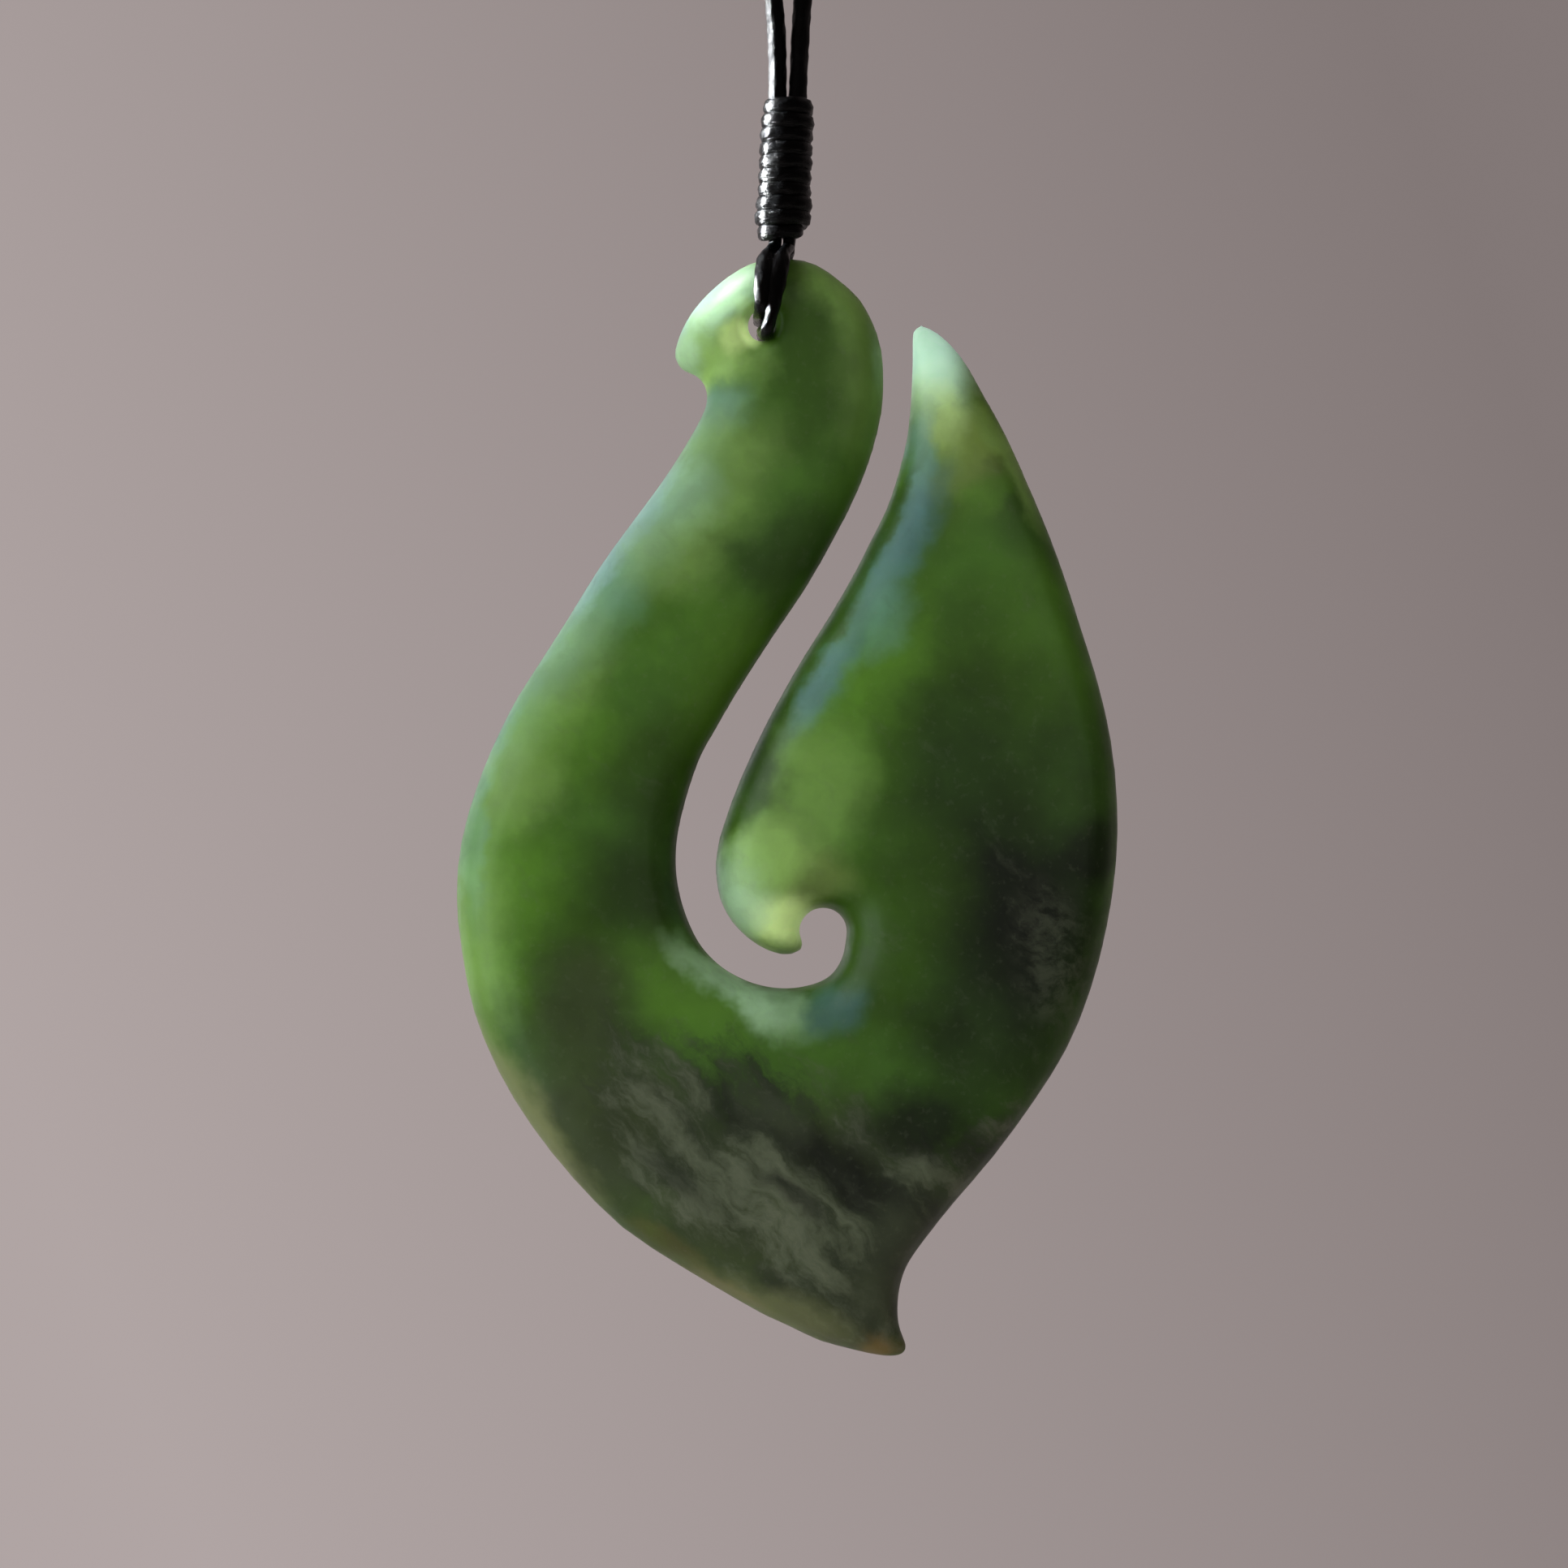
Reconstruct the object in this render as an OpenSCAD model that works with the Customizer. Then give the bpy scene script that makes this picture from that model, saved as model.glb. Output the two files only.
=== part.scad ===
// Hei matau: a carved green stone fish hook on a black waxed cord.
// Millimetres, +Z up, the front of the pendant faces -Y.
// The origin is where the cord hangs: the underside of the cord at the top of the neck loop.

/* [Carved hook] */
// Height of the hook from the head's top to the tail
hook_h = 60; // [57:1:63]
// Greatest thickness of the hook, front to back
hook_t = 6.4; // [5.6:0.2:7.2]
// Width of the rounded rim, from the edge to the face
rim_w = 2.2; // [1.8:0.1:2.6]
// Share of the thickness that the face has reached where the rim ends
face_share = 0.86; // [0.8:0.02:0.94]
// Bore of the drilled hole in the head
hole_d = 2; // [2:0.05:2.2]
// Width of the worn, countersunk mouth of the hole
mouth_d = 2.4; // [2.3:0.1:2.8]

/* [Thread and cord] */
// Thickness of the neck cord
cord_d = 1; // [0.8:0.05:1]
// Thickness of the thread in the hanging loop
thread_d = 0.75; // [0.6:0.05:0.75]
// Number of turns in the lashing
lash_turns = 11; // [10:1:12]
// Height of one turn of the lashing
lash_pitch = 0.75; // [0.73:0.01:0.78]
// Width over the lashing's plain turns
lash_d = 2.9; // [2.8:0.05:3.2]
// Lean of the lashing, its lower end to the left, in degrees
lash_lean = 2.4; // [1.8:0.2:3]

/* [Clearances] */
// Gap between the top of the head and the lashing
head_gap = 0.75; // [0.7:0.05:0.9]
// Radial gap round the strands inside the lashing
strand_gap = 0.06; // [0.04:0.01:0.08]

/* [Hidden] */

// The tables below were laid out for a hook of this height, from the centre of its hole.
table_h = 60;
table_t = 6.4;
k = hook_h / table_h;
head_top = 3.72 * k;
hole_x = -1.48;
loop_rise = 278;

lash_len = lash_turns * lash_pitch;
lash_top = cord_d / 2 - loop_rise;
hole_z = lash_top - lash_len - head_gap - head_top;

// Ridge of the hook, from the head down the shank, round the bowl and up the lobe.
// Columns: x, z, share of the greatest thickness.
ridge = [
    [0.9, 0.3, 0.67],
    [1.4, -1.9, 0.70],
    [1.8, -4.4, 0.73],
    [1.2, -6.9, 0.75],
    [0, -9.2, 0.77],
    [-1.8, -12, 0.79],
    [-3.5, -14.5, 0.80],
    [-5.5, -17.5, 0.82],
    [-6.9, -19.8, 0.83],
    [-8.2, -21.8, 0.85],
    [-9.2, -23.9, 0.86],
    [-10, -26.2, 0.88],
    [-10.5, -28.5, 0.90],
    [-10.7, -30.8, 0.91],
    [-10.4, -33.2, 0.93],
    [-9.8, -35.6, 0.94],
    [-8.8, -38, 0.96],
    [-7.3, -40.4, 0.97],
    [-5.4, -42.6, 0.98],
    [-3, -44.4, 0.99],
    [-0.2, -45.8, 1],
    [2.6, -46.8, 1],
    [5.2, -46.8, 1],
    [7.4, -45.4, 1],
    [9, -42.8, 1],
    [9.8, -39.6, 1],
    [10, -36.4, 0.99],
    [9.8, -33.4, 0.98],
    [9.4, -30.4, 0.96],
    [9.2, -27.4, 0.94],
    [9.4, -24.4, 0.92],
    [9.7, -21.4, 0.89],
    [10, -18.4, 0.85],
    [10.3, -15.6, 0.80],
    [10.4, -13, 0.74],
    [10.4, -10.6, 0.68],
    [10.2, -8.2, 0.61],
    [9.9, -5.9, 0.53],
    [9.5, -3.8, 0.44],
    [9.1, -2, 0.35],
    // The barb's tongue leaves the lobe over the curl.
    [7, -30.2, 0.95],
    [4.4, -30, 0.93],
    [2.2, -30.2, 0.9],
    [0.8, -31.1, 0.86],
    [0.5, -32.3, 0.8],
    // The tail's flick leaves the foot of the bowl.
    [5.3, -49.9, 0.96],
    [5.1, -52, 0.84],
    [5.7, -53.8, 0.64],
    [6.8, -55.2, 0.42],
];

// Edge of the hook, clockwise from the lip on the head's left.
// Columns: x, z, row of the ridge that the section from there runs to.
head_edge = [
    [-4.7, -1.9, 0],
    [-4.7, -1.2, 0],
    [-4.35, -0.2, 0],
    [-3.7, 0.9, 0],
    [-2.8, 1.9, 0],
    [-1.7, 2.8, 0],
    [-0.4, 3.5, 0],
    [1, 3.7, 0],
    [2.3, 3.6, 0],
    [3.4, 3.15, 0],
    [4.4, 2.4, 0],
    [5.4, 1.45, 0],
    [6.15, 0.1, 0],
];
shank_inner_edge = [
    [6.6, -1.4, 1],
    [6.7, -3, 1],
    [6.6, -4.7, 2],
    [6.1, -6.8, 2],
    [5.3, -9, 3],
    [4, -11.6, 4],
    [2.4, -14.4, 5],
    [0.7, -16.9, 6],
    [-1.3, -20, 7],
    [-2.4, -21.9, 8],
    [-3.3, -23.5, 9],
    [-4, -25.5, 10],
    [-4.5, -27.5, 11],
    [-4.65, -29.1, 12],
    [-4.55, -30.4, 13],
    [-4.25, -31.7, 14],
];
bowl_edge = [
    [-3.65, -33.2, 15],
    [-2.9, -34.3, 16],
    [-1.9, -35.15, 17],
    [-0.6, -35.8, 18],
    [0.7, -36.1, 19],
    [1.95, -36.1, 20],
    [3, -35.85, 21],
    [3.7, -35.5, 22],
    [4.2, -34.9, 23],
    [4.5, -34.2, 24],
];
barb_edge = [
    [2.35, -33.9, 44],
    [1.65, -34.3, 44],
    [0.8, -34.25, 44],
    [-0.2, -33.8, 44],
    [-1.15, -33.05, 44],
    [-1.9, -32.1, 43],
    [-2.35, -31, 42],
    [-2.5, -29.7, 41],
    [-2.4, -28.4, 40],
];
lobe_left_edge = [
    [-2, -27, 28],
    [-1.15, -24.7, 29],
    [0.35, -21.5, 30],
    [2.2, -18.2, 31],
    [3.6, -16, 32],
    [5, -13.6, 33],
    [5.9, -11.8, 34],
    [6.8, -10, 35],
    [7.45, -8.1, 36],
    [7.95, -6, 37],
    [8.15, -4, 38],
    [8.25, -1.9, 39],
];
point_edge = [
    [8.25, -0.6, 39],
    [8.4, 0, 39],
    [8.95, 0, 39],
    [9.65, -0.4, 39],
    [10.4, -1.05, 39],
];
lobe_right_edge = [
    [11.25, -2.15, 38],
    [12.3, -4, 37],
    [13.4, -6, 36],
    [14.6, -8.7, 35],
    [15.7, -11.3, 34],
    [16.6, -13.8, 33],
    [17.5, -16.6, 32],
    [18.4, -19.5, 31],
    [19.1, -22.6, 30],
    [19.45, -26, 29],
    [19.4, -29.2, 28],
    [18.9, -32.7, 27],
    [18, -36.2, 26],
    [16.7, -39.4, 25],
    [14.9, -42.3, 24],
    [12.7, -45.3, 23],
    [10.4, -48, 22],
];
tail_edge = [
    [9.05, -49.7, 45],
    [8.05, -51.1, 46],
    [7.6, -52.3, 46],
    [7.45, -53.6, 47],
    [7.55, -54.7, 48],
    [7.95, -55.7, 48],
    [7.6, -56.2, 48],
    [6.5, -56.2, 48],
    [5.05, -55.9, 47],
    [3.2, -55.4, 46],
    [1.5, -54.6, 45],
    [0.3, -54.05, 22],
];
shank_outer_edge = [
    [-0.9, -53.4, 21],
    [-4.3, -51.4, 20],
    [-7.6, -49.2, 19],
    [-10.3, -46.5, 18],
    [-12.6, -43.6, 17],
    [-14.4, -40.6, 16],
    [-15.7, -37.4, 15],
    [-16.35, -34.2, 14],
    [-16.65, -31.2, 13],
    [-16.4, -28.2, 12],
    [-15.6, -25.3, 11],
    [-14.6, -22.8, 10],
    [-13.4, -20.4, 9],
    [-12, -18.2, 8],
    [-10.5, -15.85, 7],
    [-8.8, -13.1, 6],
    [-7.1, -10.75, 5],
    [-5.5, -8.6, 4],
    [-4.2, -6.6, 3],
];
lip_edge = [
    [-3.25, -4.9, 2],
    [-3, -4.2, 1],
    [-3, -3.6, 1],
    [-3.25, -3.05, 0],
    [-3.7, -2.65, 0],
    [-4.25, -2.5, 0],
];

// The curl at the inner end of the slot is an arc.
curl_centre = [3.37, -33.05];
curl_r = 1.3;
curl_from = -20;
curl_step = 26;
curl_rows = [25, 26, 27, 28, 40, 41, 42, 43, 44];
curl_edge = [
    for (i = [0 : len(curl_rows) - 1])
        let (a = curl_from + i * curl_step)
        [curl_centre.x + curl_r * cos(a), curl_centre.y + curl_r * sin(a), curl_rows[i]]
];

edge = concat(head_edge, shank_inner_edge, bowl_edge, curl_edge, barb_edge, lobe_left_edge,
    point_edge, lobe_right_edge, tail_edge, shank_outer_edge, lip_edge);

// Pieces of the edge's curve between two rows of its table.
edge_steps = 2;
// Rings over the rim, and on from there to the ridge.
rim_steps = 4;
face_steps = 2;
rings = rim_steps + face_steps;
// The rim takes no more than this share of a short spoke.
rim_share = 0.7;

// A point on the smooth curve from b to c, t of the way, with a before b and d after c.
function curve(a, b, c, d, t) =
    b + t * (c - a) / 2
    + t * t * (a - 2.5 * b + 2 * c - d / 2)
    + t * t * t * (1.5 * b - a / 2 - 1.5 * c + d / 2);

// The item of a list at i, counted round and round.
function around(list, i) = list[(i + len(list)) % len(list)];

function flat(p) = [p[0], p[1]];

// Spokes from the edge to the ridge: edge point, ridge point, half thickness at the ridge.
spokes = [
    for (i = [0 : len(edge) - 1])
        let (
            before = flat(around(edge, i - 1)),
            here = edge[i],
            next = around(edge, i + 1),
            after = flat(around(edge, i + 2)),
            low = ridge[here[2]],
            high = ridge[next[2]]
        )
        for (s = [0 : edge_steps - 1])
            let (t = s / edge_steps, r = low + t * (high - low))
            [k * curve(before, flat(here), flat(next), after, t), k * flat(r), r[2] * hook_t / 2]
];

// Distance from the edge of ring n on a spoke of length w.
function ring_run(w, n) =
    let (rim = min(rim_w, rim_share * w))
    n <= rim_steps
        ? rim * (1 - cos(90 * n / rim_steps))
        : rim + (w - rim) * (n - rim_steps) / face_steps;

// Height of ring n over the middle plane, as a share of the half thickness: a round rim,
// and a face that goes on rising a little to the ridge.
function ring_rise(w, n) =
    let (round = n < rim_steps ? sin(90 * n / rim_steps) : 1, left = 1 - ring_run(w, n) / w)
    face_share * round + (1 - face_share) * (1 - left * left);

// One point of the hook's skin: spoke, ring, and front (-1) or back (1).
function skin(spoke, n, side) =
    let (
        run = spoke[1] - spoke[0],
        w = norm(run),
        p = spoke[0] + run * ring_run(w, n) / w
    )
    [p.x, n == 0 ? 0 : side * spoke[2] * ring_rise(w, n), p.y];

module carved_blank() {
    count = len(spokes);
    row = rings + 1;
    half = count * row;
    skins = [for (side = [-1, 1]) for (spoke = spokes) for (n = [0 : rings]) skin(spoke, n, side)];
    front = [
        for (i = [0 : count - 1])
            let (j = (i + 1) % count, a = i * row, b = j * row, fan = spokes[i][1] == spokes[j][1])
            for (n = [0 : rings - 1])
                each n == rings - 1 && fan
                    ? [[a + n, b + n, b + n + 1]]
                    : [[a + n, b + n, b + n + 1], [a + n, b + n + 1, a + n + 1]]
    ];
    back = [for (f = front) [f[2] + half, f[1] + half, f[0] + half]];
    polyhedron(points = skins, faces = concat(front, back));
}

// The drilled hole, worn wider at both faces by the thread.
head_share = 0.66;
head_face = head_share * hook_t / 2;
mouth_depth = 0.9;
past_face = 0.4;
mouth_slope = (mouth_d - hole_d) / 2 / mouth_depth;

module drilled_hole() {
    rotate([90, 0, 0]) {
        cylinder(d = hole_d, h = hook_t, center = true, $fn = 48);
        for (side = [-1, 1])
            scale([1, 1, side])
                translate([0, 0, head_face - mouth_depth])
                    cylinder(
                        r1 = hole_d / 2,
                        r2 = mouth_d / 2 + past_face * mouth_slope,
                        h = mouth_depth + past_face,
                        $fn = 48
                    );
    }
}

// The thread in the hanging loop: up the back, through the hole to the front, into the lashing,
// over to the back, and the same way round once more. Columns: x, y, z from the hole's centre.
thread_route = [
    [0.78, 0.42, 5.6],
    [0.73, 0.47, 4.38],
    [0.64, 0.92, 4.08],
    [0.48, 1.92, 3.5],
    [0.3, 2.65, 2.4],
    [0.1, 2.8, 1.5],
    [-0.05, 2.75, 0.85],
    [-0.1, 2.25, 0.5],
    [-0.1, 1.2, 0.48],
    [-0.1, 0, 0.5],
    [-0.1, -1.2, 0.48],
    [-0.12, -2.25, 0.5],
    [-0.1, -2.75, 0.85],
    [0, -2.8, 1.5],
    [0.12, -2.65, 2.4],
    [0.28, -1.92, 3.5],
    [0.56, -0.92, 4.08],
    [0.73, -0.47, 4.38],
    [0.8, -0.42, 5.7],
    [1.05, -0.2, 6.5],
    [1.4, 0.2, 6.5],
    [1.6, 0.42, 5.7],
    [1.5, 0.47, 4.38],
    [1.46, 0.92, 4.08],
    [1.3, 1.92, 3.5],
    [1.05, 2.65, 2.4],
    [0.85, 2.85, 1.4],
    [0.6, 2.9, 0.4],
    [0.35, 2.75, -0.4],
    [0.2, 2.2, -0.65],
    [0.1, 1.2, -0.42],
    [0.1, 0, -0.38],
    [0.1, -1.2, -0.42],
    [0.2, -2.2, -0.68],
    [0.35, -2.75, -0.4],
    [0.58, -2.9, 0.4],
    [0.8, -2.85, 1.4],
    [1, -2.65, 2.4],
    [1.24, -1.92, 3.5],
    [1.44, -0.92, 4.08],
    [1.5, -0.47, 4.38],
    [1.58, -0.42, 5.6],
];

// One half of the neck cord's free run, from the lashing to the top of the loop.
// Columns: x, height over the lashing's top.
half_route = [
    [0.6, 2],
    [0.78, 5],
    [1.1, 8],
    [1.75, 12],
    [2.95, 18],
    [4.9, 26],
    [7.6, 36],
    [12.2, 52],
    [18.4, 74],
    [25.3, 98],
    [32.5, 123],
    [39.9, 149],
    [47.6, 176],
    [55.7, 204],
    [57.7, 226],
    [51.2, 247.2],
    [38, 263.8],
    [19.8, 274.5],
];
// Heights of the two strands' points inside the lashing, as shares of its length.
held_route = [-0.57 * lash_len, -0.28 * lash_len];
strand_x = (cord_d + strand_gap) / 2;

neck_route = concat(
    [for (h = held_route) [h * tan(lash_lean) - strand_x, 0, h]],
    [for (p = half_route) [-p[0], 0, p[1]]],
    [[0, 0, loop_rise]],
    [for (i = [len(half_route) - 1 : -1 : 0]) [half_route[i][0], 0, half_route[i][1]]],
    [for (i = [1 : -1 : 0]) [held_route[i] * tan(lash_lean) + strand_x, 0, held_route[i]]]
);

route_steps = 2;
tube_sides = 8;

function unit(v) = v / norm(v);

// The points of a smooth line through a route.
function smooth_line(route) =
    let (last = len(route) - 1)
    [
        for (i = [0 : last - 1])
            let (before = route[max(i - 1, 0)], after = route[min(i + 2, last)])
            for (s = [0 : route_steps - 1])
                curve(before, route[i], route[i + 1], after, s / route_steps),
        route[last]
    ];

// A round tube along a route. No part of the route runs along the vector across.
module tube(route, d, across) {
    line = smooth_line(route);
    last = len(line) - 1;
    points = [
        for (i = [0 : last])
            let (
                ahead = unit(line[min(i + 1, last)] - line[max(i - 1, 0)]),
                side = unit(cross(ahead, across)),
                other = cross(ahead, side)
            )
            for (s = [0 : tube_sides - 1])
                let (a = 360 * (s + 0.5) / tube_sides)
                line[i] + d / 2 * (cos(a) * side + sin(a) * other)
    ];
    walls = [
        for (i = [0 : last - 1])
            for (s = [0 : tube_sides - 1])
                let (
                    a = i * tube_sides + s,
                    b = i * tube_sides + (s + 1) % tube_sides
                )
                each [[b + tube_sides, b, a], [a + tube_sides, b + tube_sides, a]]
    ];
    start_cap = [for (s = [0 : tube_sides - 1]) s];
    end_cap = [for (s = [tube_sides - 1 : -1 : 0]) last * tube_sides + s];
    polyhedron(points = points, faces = concat(walls, [start_cap, end_cap]));
}

// The lashing's outline, turn by turn from the top, in radius and height.
turn_bump = 0.16;
bulge_turn = lash_turns - 3;
bulge_share = 1.08;
function crest(turn) = lash_d / 2 * (turn == bulge_turn ? bulge_share : 1);
lash_outline = [
    for (turn = [0 : lash_turns - 1])
        for (a = [90 : -30 : -60])
            [crest(turn) - turn_bump * (1 - cos(a)), lash_pitch * (sin(a) / 2 - turn - 0.5)]
];
// The bore holds the two cord strands above, and four strands of the thread below.
thread_spread = 0.74;
lash_bore_r = max(cord_d, thread_spread + thread_d / 2) + strand_gap;

module hook() {
    color("darkgreen")
        translate([hole_x, 0, hole_z])
            difference() {
                carved_blank();
                drilled_hole();
            }
}

// The loop follows the thickness of the hook, and over the hole its height.
module hanging_loop() {
    route = [for (p = thread_route) [p.x, p.y * hook_t / table_t, p.z * (p.z > 0 ? k : 1)]];
    color("dimgray")
        translate([hole_x, 0, hole_z])
            tube(route, thread_d, [1, 0, 0]);
}

module lashing() {
    color("black")
        translate([0, 0, lash_top])
            rotate([0, lash_lean, 0])
                rotate_extrude($fn = 48)
                    polygon(concat([[lash_bore_r, 0]], lash_outline, [
                        [crest(lash_turns - 1) - turn_bump, -lash_len],
                        [lash_bore_r, -lash_len]
                    ]));
}

module neck_cord() {
    color("darkslategray")
        translate([0, 0, lash_top])
            tube(neck_route, cord_d, [0, 1, 0]);
}

hook();
hanging_loop();
lashing();
neck_cord();
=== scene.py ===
"""Hei matau pendant: a carved green stone fish hook lashed to a black waxed neck cord.

Metres, +Z up, the front of the pendant faces -Y. The origin is where the neck cord hangs.
"""

import logging
import math
from collections.abc import Mapping, Sequence
from dataclasses import dataclass
from enum import Enum
from typing import ClassVar

import bpy
import numpy as np
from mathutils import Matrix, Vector


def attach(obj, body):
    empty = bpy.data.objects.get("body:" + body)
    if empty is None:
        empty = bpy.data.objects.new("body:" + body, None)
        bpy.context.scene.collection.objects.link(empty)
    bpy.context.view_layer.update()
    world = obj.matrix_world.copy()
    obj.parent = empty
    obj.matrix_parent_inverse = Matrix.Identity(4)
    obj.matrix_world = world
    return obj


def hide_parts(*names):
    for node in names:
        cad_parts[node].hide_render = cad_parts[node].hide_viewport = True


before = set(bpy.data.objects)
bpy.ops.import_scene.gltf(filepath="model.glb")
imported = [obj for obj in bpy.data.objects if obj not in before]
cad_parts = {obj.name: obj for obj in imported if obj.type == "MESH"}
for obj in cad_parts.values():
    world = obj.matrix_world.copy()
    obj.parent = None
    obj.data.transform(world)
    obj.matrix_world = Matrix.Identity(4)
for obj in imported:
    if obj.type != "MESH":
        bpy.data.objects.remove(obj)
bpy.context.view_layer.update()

log = logging.getLogger("pendant")

MM = 0.001
HOLE = np.array([-1.48, 0.0, -290.22])
LASH_TOP = -277.5
LASH_LEAN = math.radians(2.4)

Rows = Sequence[tuple[float, ...]]
Pair = tuple[float, float]
Triple = tuple[float, float, float]
Shade = tuple[float, float, float, float]
Socket = bpy.types.NodeSocket


class Body(Enum):
    """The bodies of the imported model."""

    CORD = "cord"
    PENDANT = "pendant"


class Slot(Enum):
    """The record's material slots."""

    JADE = "jade"
    THREAD = "waxed_thread"
    CORD = "waxed_cord"


class Tone(Enum):
    """Colours of the stone and the cord, as they look in daylight, and of the sheen and light
    painted on the stone.
    """

    MINT = "BFE3B8"
    PALE_SKY = "A9CFC9"
    SKY_MINT = "84B2A6"
    DUSK_BLUE = "648A90"
    APPLE = "A6CC78"
    FRESH = "D2EE9E"
    LIME = "92AC5A"
    SPRING = "6E9C42"
    LEAF = "588038"
    MOSS = "3E5B20"
    FOREST = "263A17"
    NIGHT = "060904"
    DULL = "434D2F"
    DEEP_OLIVE = "20261A"
    OLIVE = "7E9454"
    OLIVE_GREY = "525A44"
    ASH = "8C927A"
    FLECK = "5A604C"
    STRAW = "949A6C"
    RUST = "967A4A"
    SOOT = "020202"
    TAR_BROWN = "070404"
    TAR_BLUE = "030405"
    PALE_MAUVE = "DAD0CB"

    @property
    def linear(self) -> Shade:
        """The colour in linear light, with full alpha."""
        parts = [int(self.value[i : i + 2], 16) / 255 for i in (0, 2, 4)]
        lit = [c / 12.92 if c <= 0.04045 else ((c + 0.055) / 1.055) ** 2.4 for c in parts]
        return (lit[0], lit[1], lit[2], 1.0)


class NodeSheet:
    """The node tree of a material or a world, made with short calls.

    Args:
        owner: The new material or world.
    """

    def __init__(self, owner: bpy.types.Material | bpy.types.World) -> None:
        owner.use_nodes = True
        self.owner = owner
        self.tree = owner.node_tree
        self.tree.nodes.clear()

    def add(
        self, kind: str, inputs: Mapping[str | int, object] | None = None, **settings: object
    ) -> bpy.types.Node:
        """Add a node, set its properties and feed its inputs.

        Args:
            kind: The node's type name, without its ShaderNode prefix.
            inputs: A value, or another node's socket, for each input named or numbered.
            settings: Properties of the node.

        Returns:
            The new node.
        """
        node = self.tree.nodes.new("ShaderNode" + kind)
        for key, value in settings.items():
            setattr(node, key, value)
        for key, value in (inputs or {}).items():
            if isinstance(value, bpy.types.NodeSocket):
                self.tree.links.new(value, node.inputs[key])
            else:
                node.inputs[key].default_value = value
        return node

    def place(self) -> Socket:
        """The point in the row frame, in metres."""
        return self.add("TexCoord").outputs["Object"]

    def along(self, name: str) -> Socket:
        """A vector stored on the mesh under this name."""
        return self.add("Attribute", attribute_name=name).outputs["Vector"]

    def maths(self, operation: str, first: object, second: object) -> Socket:
        """One step of arithmetic on two numbers."""
        return self.add("Math", {0: first, 1: second}, operation=operation).outputs[0]

    def vector(self, operation: str, first: object, second: object) -> Socket:
        """One step of arithmetic on two vectors."""
        return self.add("VectorMath", {0: first, 1: second}, operation=operation).outputs[0]

    def scaled(self, vector: Socket, factor: float) -> Socket:
        """A vector times a number."""
        return self.add("VectorMath", {0: vector, "Scale": factor}, operation="SCALE").outputs[0]

    def local(self, vector: Socket, centre: Triple, turn: float, size: Triple) -> Socket:
        """Coordinates counted from a centre, in a turned and scaled frame.

        Args:
            vector: The point.
            centre: Where the new frame's origin is, in metres.
            turn: Turn about Y in radians, which takes +X towards -Z.
            size: Size of one unit along the three new axes, in metres.

        Returns:
            The point in the new frame.
        """
        values = {"Vector": vector, "Location": centre, "Rotation": (0.0, turn, 0.0), "Scale": size}
        return self.add("Mapping", values, vector_type="TEXTURE").outputs["Vector"]

    def noise(
        self, vector: Socket, scale: float, detail: float, rough: float, twist: float = 0.0,
        colour: bool = False,
    ) -> Socket:
        """A noise pattern.

        Args:
            vector: The point.
            scale: Lumps per unit of the point.
            detail: Octaves of finer noise.
            rough: Strength of the finer octaves.
            twist: Distortion of the pattern.
            colour: Whether three separate values are wanted.

        Returns:
            The noise, as one value or as a colour.
        """
        values = {
            "Vector": vector, "Scale": scale, "Detail": detail, "Roughness": rough,
            "Distortion": twist,
        }
        return self.add("TexNoise", values).outputs["Color" if colour else "Fac"]

    def spread(
        self, value: Socket, low: float, high: float, out_low: float = 0.0,
        out_high: float = 1.0, kind: str = "SMOOTHSTEP",
    ) -> Socket:
        """A step from one value to another.

        Args:
            value: The value.
            low: Where the step starts.
            high: Where the step ends.
            out_low: The result at its start.
            out_high: The result at its end.
            kind: Blender's name of its form.

        Returns:
            The stepped value.
        """
        values = {
            "Value": value, "From Min": low, "From Max": high, "To Min": out_low,
            "To Max": out_high,
        }
        return self.add("MapRange", values, interpolation_type=kind).outputs["Result"]

    def mix(self, factor: object, first: object, second: object, kind: str = "MIX") -> Socket:
        """Blend two colours.

        Args:
            factor: Share of the second colour.
            first: The first colour.
            second: The second colour.
            kind: Blender's blend type.

        Returns:
            The blended colour.
        """
        values = {0: factor, 6: first, 7: second}
        return self.add("Mix", values, data_type="RGBA", blend_type=kind).outputs[2]

    def bump(self, height: Socket, distance: float, strength: float) -> Socket:
        """A normal tilted by a height pattern, whose full depth is the distance in metres."""
        values = {"Strength": strength, "Distance": distance, "Height": height}
        return self.add("Bump", values).outputs["Normal"]

    def surface(self, **values: object) -> bpy.types.Material:
        """Close a material's tree with one principled surface.

        Args:
            values: Sockets of the shader, with underscores for spaces.

        Returns:
            The finished material.
        """
        named = {key.replace("_", " "): value for key, value in values.items()}
        shader = self.add("BsdfPrincipled", named)
        self.add("OutputMaterial", {"Surface": shader.outputs["BSDF"]})
        return self.owner


@dataclass(frozen=True)
class Cloud:
    """A soft patch of colour in the stone, or of painted light, sheen or shade on it, in
    millimetres from the centre of the hole.

    The turn is in degrees and takes the patch's width down to the right.
    """

    x: float
    z: float
    width: float
    height: float
    turn: float
    tone: Tone
    strength: float


def clouds(*rows: tuple[float, float, float, float, float, Tone, float]) -> tuple[Cloud, ...]:
    """Clouds from rows of x, z, half width, half height, turn, tone and strength."""
    return tuple(Cloud(*row) for row in rows)


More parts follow.
